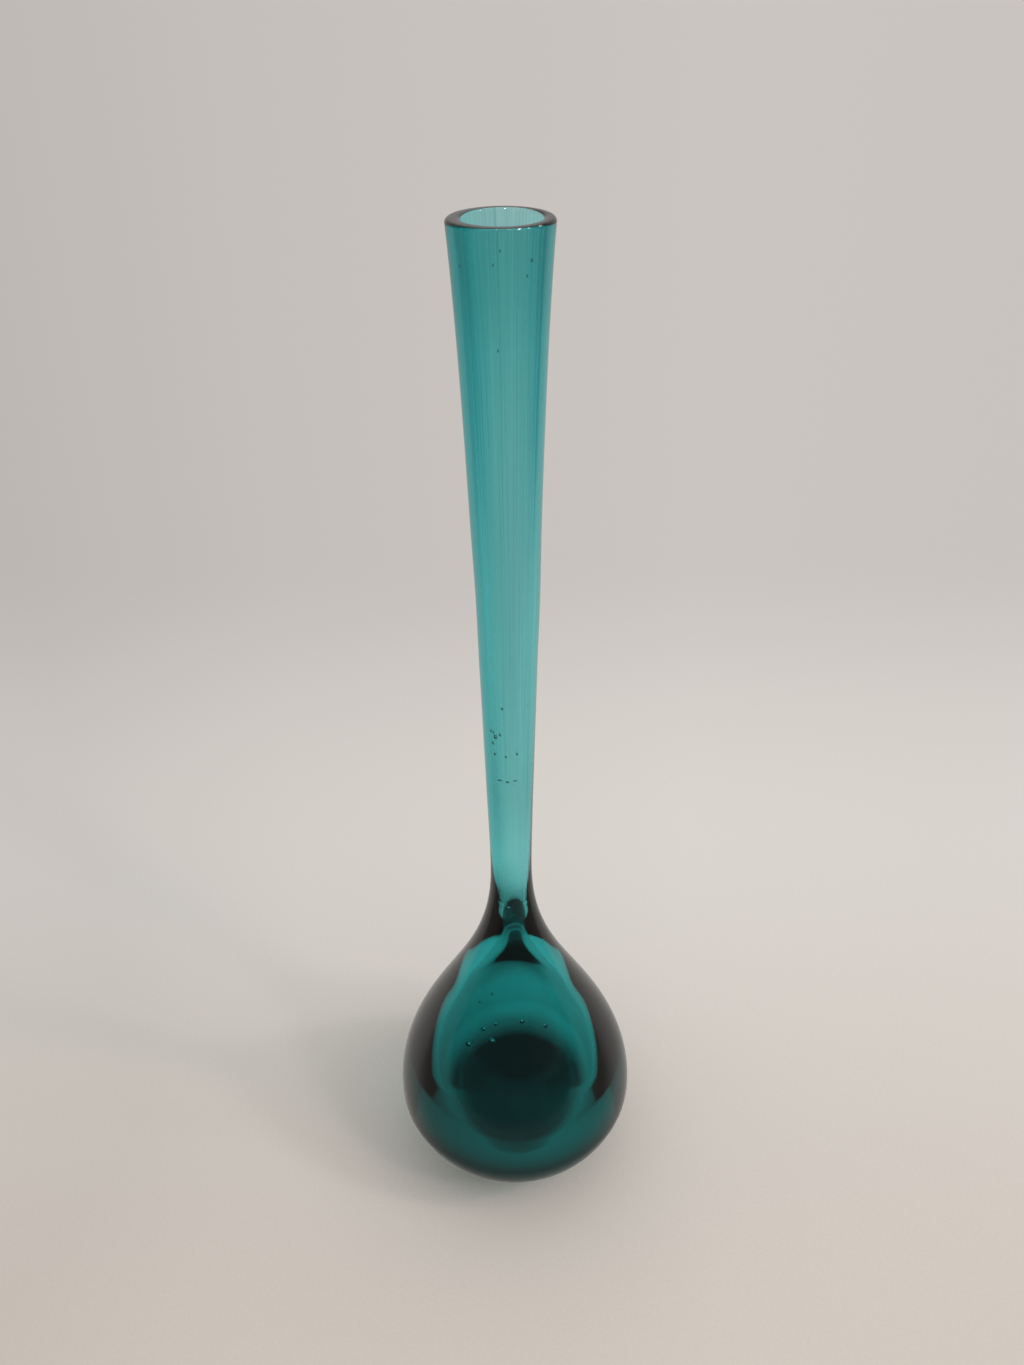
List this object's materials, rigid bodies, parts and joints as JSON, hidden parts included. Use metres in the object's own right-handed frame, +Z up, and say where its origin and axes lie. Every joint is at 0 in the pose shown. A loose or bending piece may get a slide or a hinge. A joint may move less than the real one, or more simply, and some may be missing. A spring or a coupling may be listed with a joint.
{
  "type": "glass vase",
  "caption": "Heavy bulb of thick blown glass with a long thin neck that widens to a round mouth, for a single stem.",
  "frame": {"origin": "middle of the foot, on the surface that the vase stands on", "axes": "+Z up along the neck; +X and +Y lie in the resting plane, and the vase is turned round Z"},
  "size_m": [0.0888, 0.0888, 0.35],
  "materials": {
    "inner_glass": "clear teal glass, fire-polished",
    "outer_glass": "clear teal glass, fire-polished"
  },
  "bodies": {
    "root": {"inner_gather": "inner_glass", "outer_gather": "outer_glass"}
  },
  "joints": []
}
